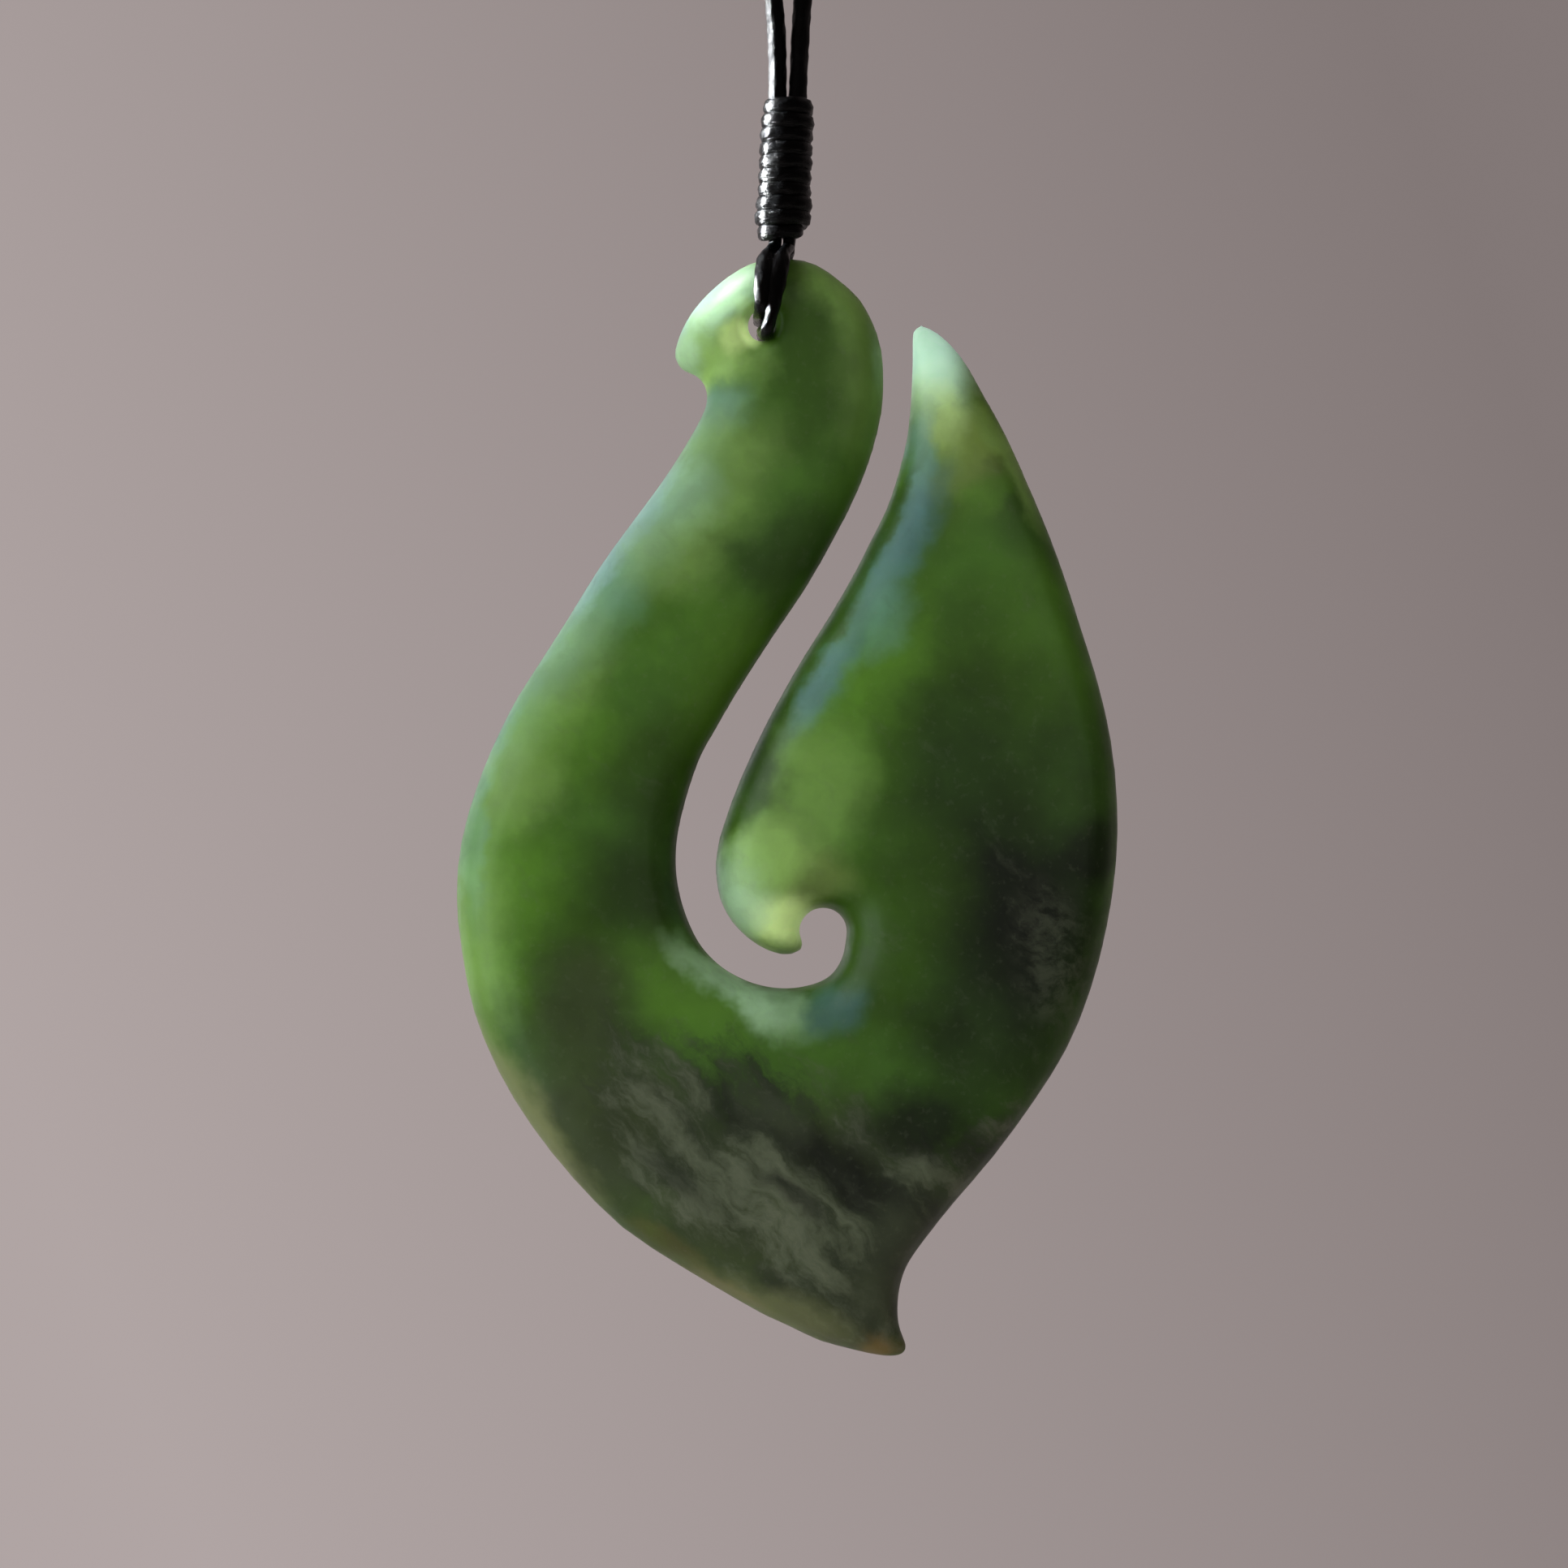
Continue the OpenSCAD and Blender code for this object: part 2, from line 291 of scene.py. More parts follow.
# Each table is laid from its first row to its last. Broad patches come first.
CLOUDS_AND_PAINTED_LIGHT = clouds(
    # The shank, from the head down to the bowl.
    (2, -6, 8, 9, 0, Tone.LEAF, 0.6), (3.6, -1.2, 4.2, 5.2, 20, Tone.MOSS, 0.85),
    # The tall apple patch at (6.3, -1.5) is a painted glow along the head's right rim.
    (6.3, -1.5, 2.4, 6.4, 0, Tone.APPLE, 0.3), (4.4, 2.2, 3, 1.8, 40, Tone.APPLE, 0.62),
    # The mint patch at (-3, 2) is a painted sheen on the head's upper left.
    (1, -7.4, 2.8, 2, 0, Tone.MOSS, 0.9), (-3, 2, 2.8, 3.2, 40, Tone.MINT, 1),
    # The apple patch at (-2.4, -2.4) is painted light on the head's lip; the leaf patch at (-1.8,
    # -4.2) darkens the neck under the lip, partly as painted shade.
    (-2.4, -2.4, 2.6, 2, 20, Tone.APPLE, 0.95), (-1.8, -4.2, 2, 1.2, -20, Tone.LEAF, 0.75),
    # The mint patch at (-4.3, -1.6) and the pale sky strip at (-3.9, 1.6) are a painted sheen on
    # the head's left rim.
    (-4.3, -1.6, 1.2, 1.4, 0, Tone.MINT, 0.7), (-3.9, 1.6, 1.2, 3, 42, Tone.PALE_SKY, 0.7),
    # The dusk blue patch at (-2.8, -5) is a painted sheen on the neck below the lip.
    (-2.8, -5, 2.4, 1.4, -20, Tone.DUSK_BLUE, 0.55),
    (-2.6, -8.4, 4.2, 3.4, -40, Tone.APPLE, 0.55), (-5, -10.2, 2.2, 3, 34, Tone.MINT, 0.42),
    (2.4, -9.6, 3.6, 2.8, -30, Tone.LEAF, 0.8), (1, -12.4, 4.6, 2.4, -12, Tone.FOREST, 0.6),
    (-3.6, -16.2, 3.6, 3, -20, Tone.SPRING, 0.3),
    # The sky mint and pale sky strips at (-7.6, -13.4), (-8.3, -12.6), (-12.4, -20) and (-13.9,
    # -22.4) are a painted sheen along the shank's left rim.
    (-7.6, -13.4, 2.4, 7.4, 35, Tone.SKY_MINT, 0.4),
    (-8.3, -12.6, 0.9, 7, 35, Tone.PALE_SKY, 0.6),
    (-12.4, -20, 1.8, 5.4, 30, Tone.SKY_MINT, 0.35),
    (-13.9, -22.4, 0.7, 4.6, 25, Tone.SKY_MINT, 0.55),
    (-10.2, -22.4, 3.2, 3, 0, Tone.SPRING, 0.75), (-10.4, -18.8, 2.4, 4.4, 30, Tone.APPLE, 0.4),
    (-6.4, -24.4, 3.4, 2.8, 0, Tone.MOSS, 0.6), (-4.8, -12.8, 2.6, 2.4, 0, Tone.APPLE, 0.5),
    (-10.8, -28, 3, 3, 0, Tone.LEAF, 0.5), (-2, -19.4, 2.2, 3.4, 30, Tone.SPRING, 0.5),
    (-6.2, -30, 2.8, 6, 0, Tone.FOREST, 0.7), (-13.6, -31.2, 3.4, 5.4, 0, Tone.SPRING, 0.95),
    (-13.4, -25, 2.4, 3, 20, Tone.APPLE, 0.45), (-15.4, -34, 1.8, 6, 0, Tone.APPLE, 0.42),
    # The sky mint strip at (-15.5, -28.6) is a painted sheen on the left rim.
    (-15.5, -28.6, 0.7, 4, 0, Tone.SKY_MINT, 0.25), (-10.2, -33.4, 3, 3.6, 0, Tone.MOSS, 0.6),
    # Under the bowl. The mint strips along its lower left edge are a painted sheen, and the dusk
    # blue spot under the curl is a painted reflection.
    (-3.8, -36.4, 4.6, 2.6, 30, Tone.SPRING, 0.62),
    (-1.8, -36.1, 3.6, 0.9, 39, Tone.MINT, 0.95), (-0.5, -37, 2, 1.1, 39, Tone.MINT, 0.8),
    (0.9, -37.2, 2.2, 1.1, 30, Tone.MINT, 0.62),
    (4.2, -37.1, 1.8, 1.4, -25, Tone.DUSK_BLUE, 0.48),
    (4.4, -35.2, 1.5, 1.5, 0, Tone.MOSS, 0.8), (3.2, -40.2, 7.5, 2.4, 4, Tone.LEAF, 0.6),
    (-9.2, -43.6, 5.6, 6, 30, Tone.DULL, 0.95), (-9.8, -37, 3.4, 3.4, 30, Tone.DULL, 0.8),
    (1.6, -46.2, 10, 5, 10, Tone.DULL, 0.95), (5.4, -51, 5, 6, 0, Tone.DULL, 1),
    (7.6, -48.6, 2.6, 2.2, 0, Tone.OLIVE_GREY, 1), (-1, -50.6, 5.6, 3.2, 30, Tone.DULL, 0.9),
    # The lobe, from its point down.
    # The mint patch at (9.2, -2) and the fresh patch at (9.8, -4.6) are painted light on the lobe's
    # point.
    (10.8, -6, 2.6, 3.2, -20, Tone.LIME, 1), (9.2, -2, 2.4, 3.6, -18, Tone.MINT, 1),
    (9.8, -4.6, 1.4, 2.2, -18, Tone.FRESH, 0.75), (11.6, -8.8, 2.8, 2.4, 0, Tone.OLIVE, 0.7),
    (13.6, -10.6, 1.5, 2.8, -24, Tone.FOREST, 0.8), (12, -9.2, 1.7, 1, -30, Tone.SPRING, 0.6),
    (12.8, -7.3, 0.8, 0.5, -20, Tone.FOREST, 0.35),
    (12.8, -11.2, 2.2, 0.7, 10, Tone.FOREST, 0.6), (10.8, -10.5, 1.7, 1, 0, Tone.MOSS, 0.5),
    # The sky mint and dusk blue strips along the lobe's left edge, at (8.6, -7.2), (7.4, -12.4),
    # (4.4, -18.2), (7, -16.2) and (3.5, -19.6), are a painted sheen; the narrow moss and forest
    # strips at (6.5, -11) and (3.2, -17.6) are painted shade along that edge.
    (13.7, -7.8, 0.8, 3.6, -25, Tone.APPLE, 0.6), (8.6, -7.2, 0.8, 3.6, 8, Tone.SKY_MINT, 0.55),
    (7.4, -12.4, 1.3, 5, 27, Tone.DUSK_BLUE, 0.65), (6.5, -11, 0.4, 3.6, 27, Tone.MOSS, 0.7),
    (4.4, -18.2, 1.1, 4.6, 28, Tone.DUSK_BLUE, 0.9),
    (3.2, -17.6, 0.6, 4.2, 27, Tone.FOREST, 0.7), (0.9, -22.2, 1.3, 3, 30, Tone.FOREST, 0.75),
    (12.2, -13.6, 3.6, 4.4, 0, Tone.LEAF, 0.7), (12.4, -14.6, 2.4, 1.4, 0, Tone.MOSS, 0.35),
    (5.6, -20, 3.2, 6, 24, Tone.SPRING, 0.75), (7, -16.2, 1.2, 1.8, 24, Tone.SKY_MINT, 0.35),
    (3.5, -19.6, 0.8, 3.4, 29, Tone.DUSK_BLUE, 0.55), (7.4, -24, 2.4, 4.4, 16, Tone.MOSS, 0.7),
    (15.2, -17, 2.6, 4, -16, Tone.SPRING, 0.35), (12.6, -19.6, 3.4, 4.4, 0, Tone.MOSS, 0.7),
    (2.4, -26, 2.8, 4.4, 22, Tone.APPLE, 0.45), (-0.1, -24.6, 1.4, 2.2, 20, Tone.FOREST, 0.6),
    (10.6, -25.2, 3.6, 6, 8, Tone.FOREST, 0.8), (16.4, -25, 3.4, 4.6, 0, Tone.FOREST, 0.6),
    (13, -31, 5.4, 4.6, -14, Tone.NIGHT, 0.95), (17.8, -28.6, 2.2, 2, 0, Tone.NIGHT, 0.8),
    (8.2, -31, 3.4, 4.4, 0, Tone.MOSS, 0.7), (12.4, -38, 5, 5.4, 0, Tone.NIGHT, 0.75),
    (15.6, -34.4, 3.6, 5, 10, Tone.NIGHT, 0.8), (6.8, -34.6, 1.9, 3.6, 0, Tone.MOSS, 0.7),
    # The barb. Its mint and fresh patches are painted light.
    (3, -29.8, 2.2, 1.6, 0, Tone.OLIVE, 0.75), (-1, -30.6, 1.5, 2.4, 10, Tone.MINT, 0.6),
    (1.2, -32.2, 2.5, 1.7, 20, Tone.FRESH, 0.95), (-0.9, -31.3, 1.5, 2.2, 15, Tone.MINT, 0.6),
    (0.6, -28.8, 2.2, 2, 0, Tone.APPLE, 0.85),
)

# Where the weathered, grey streaked stone lies.
STREAKED = clouds(
    (-6.2, -41.4, 5.6, 3, 38, Tone.ASH, 0.6), (-1.6, -44.8, 7, 5.4, 38, Tone.ASH, 1),
    (4, -48.4, 6.4, 5.4, 40, Tone.ASH, 1), (12.2, -46.2, 5, 2.6, -44, Tone.ASH, 1),
    (8.2, -47.6, 4, 4, 0, Tone.ASH, 0.9), (4, -53, 6, 3.4, 20, Tone.ASH, 1),
)
# Where pale flecks lie in the dark side of the lobe.
FLECKED = clouds(
    (16, -34.8, 2.2, 4.4, -14, Tone.ASH, 0.55),
)
# What is laid over the streaks, with painted light on the hole's lower left wall last.
OVER_STREAKS = clouds(
    (-13.3, -42.6, 1.4, 7.6, -36, Tone.STRAW, 0.72),
    (8.8, -43.2, 3.6, 2.2, 0, Tone.NIGHT, 0.85), (4.4, -45.8, 3.6, 1.6, 42, Tone.NIGHT, 0.72),
    (-5, -46, 2.4, 0.9, 38, Tone.DEEP_OLIVE, 0.55), (1.8, -47.4, 2.2, 0.7, 40, Tone.NIGHT, 0.6),
    (-5, -50, 2.4, 0.6, 30, Tone.RUST, 0.15), (-2, -52.3, 2.4, 0.6, 26, Tone.RUST, 0.3),
    (6.6, -55.6, 1.3, 0.9, 0, Tone.RUST, 0.6), (0.6, -53.6, 5.4, 1.4, 22, Tone.STRAW, 0.5),
    (7.4, -49.2, 1.8, 1.6, 0, Tone.OLIVE_GREY, 0.6),
    (6.2, -52.4, 1.8, 2.2, 0, Tone.OLIVE_GREY, 0.7),
    # The fresh patch at (-1, -0.9) is painted light on the hole's wall.
    (0.8, -42.8, 2.4, 0.9, 38, Tone.OLIVE_GREY, 0.45), (-1, -0.9, 1, 1, 0, Tone.FRESH, 1),
)
# Painted glow, given off by the stone where it is thin, in place of light that comes through it.
# The strength is the share that shows.
PAINTED_GLOWS = clouds(
    (-0.62, -0.55, 0.5, 0.8, -25, Tone.FRESH, 0.5), (-0.85, 0.8, 0.7, 0.6, 45, Tone.APPLE, 0.3),
    (9, -1.3, 1.7, 2.6, -18, Tone.PALE_SKY, 0.52), (1.3, -32.5, 1.7, 1.3, 20, Tone.FRESH, 0.26),
)


@dataclass(frozen=True)
class JadeFinish:
    """Polished nephrite: drifting green clouds with painted sheen, light and shade among them, grey
    weathered streaks, a painted glow where the stone is thin, and a wet gloss.
    """

    # How far the clouds' borders wander, and how deep a cloud runs to each side, in metres.
    wander: float = 1.5 * MM
    through: float = 0.05
    # A cloud's mask reaches so many half sizes, and is full where its slope passes the core.
    patch_reach: float = 1.45
    patch_core: float = 0.75
    streak_turn: float = math.radians(47)
    streak_from: Triple = (2.6 * MM, 0.0, -2.6 * MM)
    streak_size: Triple = (3.4 * MM, 2.4 * MM, 1.25 * MM)
    fleck_turn: float = math.radians(30)
    fleck_size: Triple = (1.5 * MM, 1.5 * MM, 0.9 * MM)
    polish_depth: float = 0.02 * MM
    glow: float = 0.42
    glow_colour: Triple = (0.85, 1.0, 0.5)
    glow_reach: float = 1.5 * MM
    richness: float = 1.1

    def patch(self, sheet: NodeSheet, point: Socket, cloud: Cloud) -> Socket:
        """The soft mask of one cloud.

        Args:
            sheet: The material's node sheet.
            point: The wandering point in the row frame.
            cloud: The cloud.

        Returns:
            Its mask, from 0 to the cloud's strength.
        """
        centre = tuple((HOLE + (cloud.x, 0, cloud.z)) * MM)
        reach = self.patch_reach
        size = (cloud.width * reach * MM, self.through, cloud.height * reach * MM)
        # Nodes are made in the order that they feed each other, which keeps the shader small.
        turned = sheet.local(point, centre, math.radians(cloud.turn), size)
        inside = sheet.add("TexGradient", {"Vector": turned}, gradient_type="SPHERICAL")
        return sheet.spread(inside.outputs["Fac"], 0.0, self.patch_core, 0.0, cloud.strength)

    def lay(
        self, sheet: NodeSheet, point: Socket, colour: object, clouds: Sequence[Cloud]
    ) -> Socket:
        """Lay clouds over a colour, one after another.

        Args:
            sheet: The material's node sheet.
            point: The wandering point.
            colour: The colour so far.
            clouds: The clouds, lowest first.

        Returns:
            The colour with the clouds over it.
        """
        for cloud in clouds:
            colour = sheet.mix(self.patch(sheet, point, cloud), colour, cloud.tone.linear)
        return colour

    def region(self, sheet: NodeSheet, point: Socket, clouds: Sequence[Cloud]) -> Socket:
        """The union of several clouds' masks.

        Args:
            sheet: The material's node sheet.
            point: The wandering point.
            clouds: The clouds.

        Returns:
            The highest of their masks.
        """
        mask = self.patch(sheet, point, clouds[0])
        for cloud in clouds[1:]:
            mask = sheet.maths("MAXIMUM", mask, self.patch(sheet, point, cloud))
        return mask

    def greens(self, sheet: NodeSheet, place: Socket, point: Socket) -> Socket:
        """The fresh stone: two drifting greens, the clouds with the painted sheen, light and shade
        among them, and small paler and darker drifts.

        Args:
            sheet: The material's node sheet.
            place: The point in the row frame.
            point: The wandering point.

        Returns:
            The colour.
        """
        broad = sheet.noise(place, 130, detail=3, rough=0.55)
        colour = sheet.mix(sheet.spread(broad, 0.35, 0.65), Tone.LEAF.linear, Tone.MOSS.linear)
        colour = self.lay(sheet, point, colour, CLOUDS_AND_PAINTED_LIGHT)
        mottle = sheet.noise(point, 300, detail=5, rough=0.55)
        return sheet.mix(1.0, colour, sheet.spread(mottle, 0.3, 0.7, 0.87, 1.13), "MULTIPLY")

    def weathered(self, sheet: NodeSheet, point: Socket, colour: Socket) -> Socket:
        """Lay grey streaks that run down to the right over the stone, and pale flecks.

        Args:
            sheet: The material's node sheet.
            point: The wandering point.
            colour: The colour of the fresh stone.

        Returns:
            The colour with the weathered places.
        """
        long = sheet.local(point, self.streak_from, self.streak_turn, self.streak_size)
        streak = sheet.noise(long, 1.0, detail=8, rough=0.66, twist=0.1)
        smoke = sheet.noise(sheet.scaled(long, 0.4), 1.0, detail=2, rough=0.5)
        level = sheet.maths(
            "ADD", sheet.maths("MULTIPLY", streak, 0.5), sheet.maths("MULTIPLY", smoke, 0.5)
        )
        grey = sheet.mix(
            sheet.spread(level, 0.38, 0.6), Tone.DEEP_OLIVE.linear, Tone.OLIVE_GREY.linear
        )
        grey = sheet.mix(sheet.spread(level, 0.46, 0.72, 0.0, 0.62), grey, Tone.ASH.linear)
        ragged = sheet.maths(
            "ADD", self.region(sheet, point, STREAKED), sheet.spread(streak, 0.3, 0.7, -0.4, 0.3)
        )
        colour = sheet.mix(sheet.spread(ragged, 0.1, 1.0, 0.0, 0.95), colour, grey)
        fleck = sheet.noise(
            sheet.local(point, (0.0, 0.0, 0.0), self.fleck_turn, self.fleck_size),
            1.0, detail=6, rough=0.66, twist=0.1,
        )
        fleck_mask = sheet.maths(
            "MULTIPLY", self.region(sheet, point, FLECKED), sheet.spread(fleck, 0.36, 0.64)
        )
        colour = sheet.mix(fleck_mask, colour, Tone.FLECK.linear)
        return self.lay(sheet, point, colour, OVER_STREAKS)

    def material(self) -> bpy.types.Material:
        """Make the stone's material.

        Returns:
            The material.
        """
        sheet = NodeSheet(bpy.data.materials.new("green_stone"))
        place = sheet.place()
        drift = sheet.noise(place, 240, detail=4, rough=0.6, colour=True)
        drift = sheet.vector("SUBTRACT", drift, (0.5, 0.5, 0.5))
        point = sheet.vector("ADD", place, sheet.scaled(drift, 2 * self.wander))
        colour = self.weathered(sheet, point, self.greens(sheet, place, point))

        fine = sheet.noise(place, 2600, detail=3, rough=0.6)
        colour = sheet.mix(sheet.spread(fine, 0.55, 0.75, 0.0, 0.08), colour, Tone.ASH.linear)
        deep = sheet.add("HueSaturation", {"Saturation": self.richness, "Color": colour})

        # Painted glow: the stone gives off light where it is thin.
        light = self.lay(sheet, place, (0.0, 0.0, 0.0, 1.0), PAINTED_GLOWS)
        polish = sheet.noise(place, 900, detail=4, rough=0.6)
        return sheet.surface(
            Emission_Color=light,
            Emission_Strength=1.0,
            Base_Color=deep.outputs["Color"],
            Roughness=sheet.spread(polish, 0.3, 0.7, 0.34, 0.46),
            IOR=1.61,
            Specular_IOR_Level=0.22,
            Subsurface_Weight=self.glow,
            Subsurface_Radius=self.glow_colour,
            Subsurface_Scale=self.glow_reach,
            Normal=sheet.bump(polish, self.polish_depth, 0.5),
        )


@dataclass(frozen=True)
class WaxFinish:
    """Black waxed twine: fibres drawn along it, patchy wax and a hard shine.

    Warm is the share of brown fibres, shine the lowest roughness, and fibre the depth of the
    fibres in metres.
    """

    name: str
    warm: float
    shine: float
    fibre: float
    shine_span: float = 0.14
    # Fibres a turn and a millimetre of the twine's run.
    fibre_grid: Triple = (9.0, 1.4, 1.0)

    def material(self) -> bpy.types.Material:
        """Make the twine's material. The mesh carries its run as an attribute.

        Returns:
            The material.
        """
        sheet = NodeSheet(bpy.data.materials.new(self.name))
        run = sheet.along("run")
        place = sheet.place()
        stretched = sheet.vector("MULTIPLY", run, self.fibre_grid)
        fibres = sheet.noise(stretched, 1.0, detail=5, rough=0.65)
        wax = sheet.noise(place, 1500, detail=4, rough=0.6)
        body = sheet.mix(
            sheet.spread(wax, 0.38, 0.66), Tone.SOOT.linear, Tone.TAR_BLUE.linear
        )
        body = sheet.mix(
            sheet.spread(fibres, 0.5, 0.8, 0.0, self.warm), body, Tone.TAR_BROWN.linear
        )
        height = sheet.maths("ADD", fibres, sheet.maths("MULTIPLY", wax, 0.8))
        return sheet.surface(
            Base_Color=body,
            Roughness=sheet.spread(wax, 0.3, 0.7, self.shine, self.shine + self.shine_span),
            IOR=1.5,
            Specular_IOR_Level=0.2,
            Normal=sheet.bump(height, self.fibre, 0.8),
        )


@dataclass(frozen=True)
class StageFinish:
    """Plain pale board for the floor."""

    tone: Tone = Tone.PALE_MAUVE
    grain: Shade = (0.56, 0.52, 0.5, 1.0)

    def material(self) -> bpy.types.Material:
        """Make the board's material.

        Returns:
            The material.
        """
        sheet = NodeSheet(bpy.data.materials.new("pale_board"))
        specks = sheet.noise(sheet.place(), 30, detail=4, rough=0.5)
        shade = sheet.mix(
            sheet.spread(specks, 0.3, 0.7, 0.0, 0.12), self.tone.linear, self.grain
        )
        return sheet.surface(Base_Color=shade, Roughness=0.85)


def smooth_line(route: np.ndarray, steps: int) -> np.ndarray:
    """The same smooth line through a route as the solids follow.

    Args:
        route: Points, one a row.
        steps: Pieces of curve between two points.

    Returns:
        The points of the line.
    """
    padded = np.vstack([route[:1], route, route[-1:]])
    line = []
    for i in range(len(route) - 1):
        a, b, c, d = padded[i : i + 4]
        for s in range(steps):
            t = s / steps
            line.append(
                b + t * (c - a) / 2 + t * t * (a - 2.5 * b + 2 * c - d / 2)
                + t * t * t * (1.5 * b - a / 2 - 1.5 * c + d / 2)
            )
    line.append(route[-1])
    return np.array(line)


def run_of(line: np.ndarray) -> np.ndarray:
    """How far along a line each of its points lies."""
    return np.concatenate([[0], np.cumsum(np.linalg.norm(np.diff(line, axis=0), axis=1))])


def around(sides: int) -> np.ndarray:
    """The angles of a ring's sides, in radians."""
    return 2 * math.pi * np.arange(sides) / sides


def even_line(line: np.ndarray, pitch: float) -> tuple[np.ndarray, np.ndarray]:
    """Points at an even pitch along a line.

    Args:
        line: The line's points.
        pitch: Distance wanted between two points.

    Returns:
        The points, and how far along the line each lies.
    """
    run = run_of(line)
    where = np.linspace(0, run[-1], max(2, round(run[-1] / pitch) + 1))
    return np.stack([np.interp(where, run, line[:, i]) for i in range(3)], axis=1), where


def sweep(
    name: str, line: np.ndarray, run: np.ndarray, across: np.ndarray, wide: np.ndarray,
    thick: np.ndarray,
) -> bpy.types.Object:
    """A closed tube along a line, with its own width and thickness at every ring and side.

    Args:
        name: The piece's name.
        line: The line's points, in millimetres.
        run: How far along the line each point lies.
        across: The direction of the width at each point, or one for all.
        wide: Half width, one row a ring and one column a side.
        thick: Half thickness, in the same rows and columns.

    Returns:
        The piece, in metres.
    """
    count, sides = wide.shape
    ahead = np.gradient(line, axis=0)
    ahead /= np.linalg.norm(ahead, axis=1, keepdims=True)
    side = np.broadcast_to(across, line.shape)
    side = side - ahead * (side * ahead).sum(1, keepdims=True)
    side /= np.linalg.norm(side, axis=1, keepdims=True)
    other = np.cross(ahead, side)
    angle = around(sides)
    points = (
        line[:, None]
        + side[:, None] * (wide * np.cos(angle))[:, :, None]
        + other[:, None] * (thick * np.sin(angle))[:, :, None]
    ).reshape(-1, 3)
    ring = np.arange(count - 1)[:, None] * sides
    here, next_side = np.arange(sides)[None], (np.arange(sides) + 1)[None] % sides
    walls = np.stack(
        [ring + here, ring + next_side, ring + sides + next_side, ring + sides + here], axis=2
    ).reshape(-1, 4)
    caps = [list(range(sides - 1, -1, -1)), [(count - 1) * sides + s for s in range(sides)]]
    mesh = bpy.data.meshes.new(name)
    mesh.from_pydata((points * MM).tolist(), [], walls.tolist() + caps)
    mesh.update()
    attribute = mesh.attributes.new("run", "FLOAT_VECTOR", "POINT")
    turns = np.broadcast_to(np.cos(angle), wide.shape)
    rest = np.broadcast_to(np.sin(angle), wide.shape)
    along = np.broadcast_to(run[:, None], wide.shape)
    attribute.data.foreach_set("vector", np.stack([turns, along, rest], 2).ravel())
    mesh.shade_smooth()
    piece = bpy.data.objects.new(name, mesh)
    bpy.context.scene.collection.objects.link(piece)
    return piece


def waves(run: np.ndarray, lengths: Sequence[float], seed: int) -> np.ndarray:
    """A seeded sum of gentle waves along a run.

    Args:
        run: Where on the run.
        lengths: Wave lengths.
        seed: Seed of the waves' starts.

    Returns:
        Heights from about -1 to 1.
    """
    starts = np.random.default_rng(seed).uniform(0, 2 * math.pi, len(lengths))
    total = sum(np.sin(2 * math.pi * run / w + s) for w, s in zip(lengths, starts))
    return total / len(lengths)


def plies(angle: np.ndarray, run: np.ndarray, depth: float, twist: float) -> np.ndarray:
    """The ridges of six plies that turn round a thread.

    Args:
        angle: The angles of a ring's sides.
        run: How far along the thread each ring lies, in millimetres.
        depth: Height of the ridges in millimetres.
        twist: Turn of the plies in radians a millimetre.

    Returns:
        Heights, one row a ring and one column a side.
    """
    return depth * np.cos(6 * (angle[None] + run[:, None] * twist))


def read_points(mesh: bpy.types.Mesh, what: str = "co") -> np.ndarray:
    """Read one vector of every point of a mesh.

    Args:
        mesh: The mesh.
        what: Blender's name of the vector: co for the place, or normal.

    Returns:
        One row a point.
    """
    rows = np.empty(len(mesh.vertices) * 3)
    mesh.vertices.foreach_get(what, rows)
    return rows.reshape(-1, 3)


def write_points(mesh: bpy.types.Mesh, points: np.ndarray) -> None:
    """Move a mesh's points to the places given, in metres."""
    mesh.vertices.foreach_set("co", points.ravel())
    mesh.update()


class Maker:
    """What the makers of pieces share. Each says its finish, slot, body and solids."""

    finish: ClassVar[JadeFinish | WaxFinish]
    slot: ClassVar[Slot]
    body: ClassVar[Body]
    nodes: ClassVar[tuple[str, ...]]

    def build(self) -> bpy.types.Object:
        """Make the piece."""
        raise NotImplementedError

    def dress(self, piece: bpy.types.Object) -> None:
        """Finish a piece, fix it to its body and let it stand for its solids.

        Args:
            piece: The piece.
        """
        slot, body, nodes = self.slot, self.body, self.nodes
        piece.data.materials.clear()
        piece.data.materials.append(self.finish.material())
        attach(piece, body.value)
        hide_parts(*nodes)
        log.info("%s: %d faces on %s", piece.name, len(piece.data.polygons), body.value)


